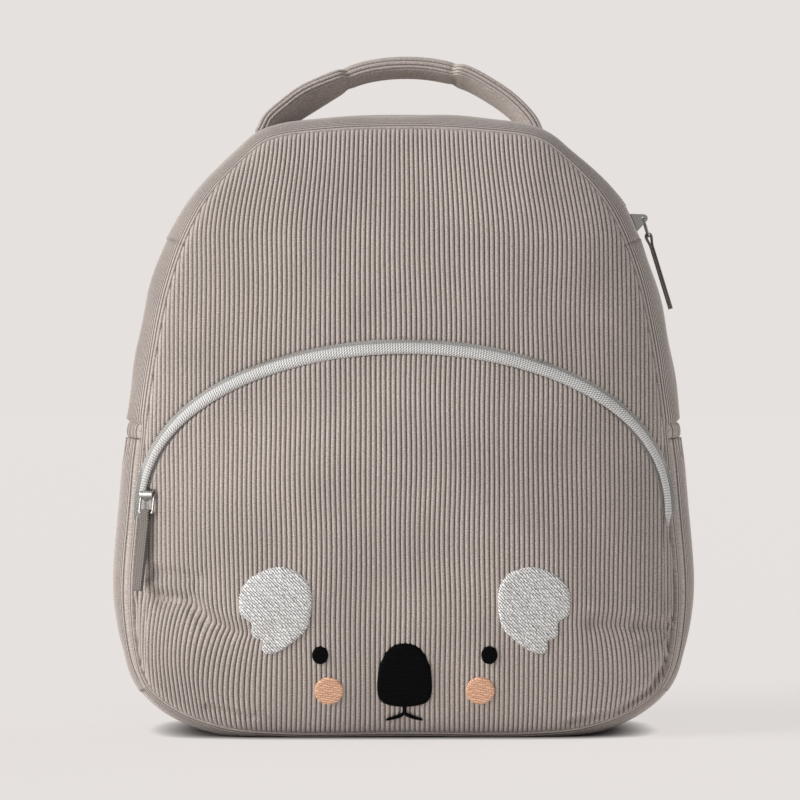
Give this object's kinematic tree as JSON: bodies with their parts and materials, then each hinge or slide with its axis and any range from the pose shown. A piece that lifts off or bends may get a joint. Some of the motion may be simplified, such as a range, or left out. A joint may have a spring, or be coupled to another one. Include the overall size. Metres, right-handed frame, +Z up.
{
  "type": "kids animal backpack",
  "caption": "Kids' corduroy backpack with an embroidered koala face, a zipped front pocket, side pockets, a top handle and shoulder straps.",
  "frame": {"origin": "middle of the base, on the floor", "axes": "+Z up, the front with its face towards -Y, +X to the viewer's right"},
  "size_m": [0.2828, 0.1863, 0.3285],
  "materials": {
    "corduroy": "warm grey corduroy with fine wales",
    "zip_tape": "woven grey tape",
    "zip_coil": "silver-grey nylon coil",
    "metal": "polished silver-coloured metal",
    "pull_tab": "folded taupe cloth",
    "back_cloth": "dark grey twill",
    "webbing": "dark grey woven webbing",
    "buckle": "black moulded plastic",
    "silver_thread": "glossy silver embroidery thread",
    "black_thread": "glossy black embroidery thread",
    "peach_thread": "glossy peach embroidery thread"
  },
  "bodies": {
    "bag": {"front_panel": "corduroy", "front_pocket": "corduroy", "gusset_base": "corduroy", "gusset_front": "corduroy", "gusset_back": "corduroy", "side_pocket_left": "corduroy", "side_pocket_right": "corduroy", "side_pocket_hem_left": "corduroy", "side_pocket_hem_right": "corduroy", "handle": "corduroy", "pocket_zip_tape": "zip_tape", "main_zip_tape": "zip_tape", "pocket_zip_coil": "zip_coil", "main_zip_coil": "zip_coil", "pocket_zip_slider": "metal", "main_zip_slider": "metal", "back_panel": "back_cloth", "shoulder_strap_left": "back_cloth", "shoulder_strap_right": "back_cloth", "strap_webbing_left": "webbing", "strap_webbing_right": "webbing", "strap_buckle_left": "buckle", "strap_buckle_right": "buckle", "ear_left": "silver_thread", "ear_right": "silver_thread", "eye_left": "black_thread", "eye_right": "black_thread", "nose": "black_thread", "mouth": "black_thread", "cheek_left": "peach_thread", "cheek_right": "peach_thread"},
    "pocket_pull": {"pocket_zip_ring": "metal", "pocket_zip_tab": "pull_tab"},
    "main_pull": {"main_zip_ring": "metal", "main_zip_tab": "pull_tab"}
  },
  "joints": [
    {"name": "pocket_pull_hinge", "type": "hinge", "parent": "bag", "child": "pocket_pull", "pos_m": [-0.12139, -0.06088, 0.11548], "axis": [-0.8332, 0.5529, 0], "range_deg": [0, 150]},
    {"name": "main_pull_hinge", "type": "hinge", "parent": "bag", "child": "main_pull", "pos_m": [0.11696, 0, 0.2484], "axis": [0, -1, 0], "range_deg": [0, 150]}
  ]
}
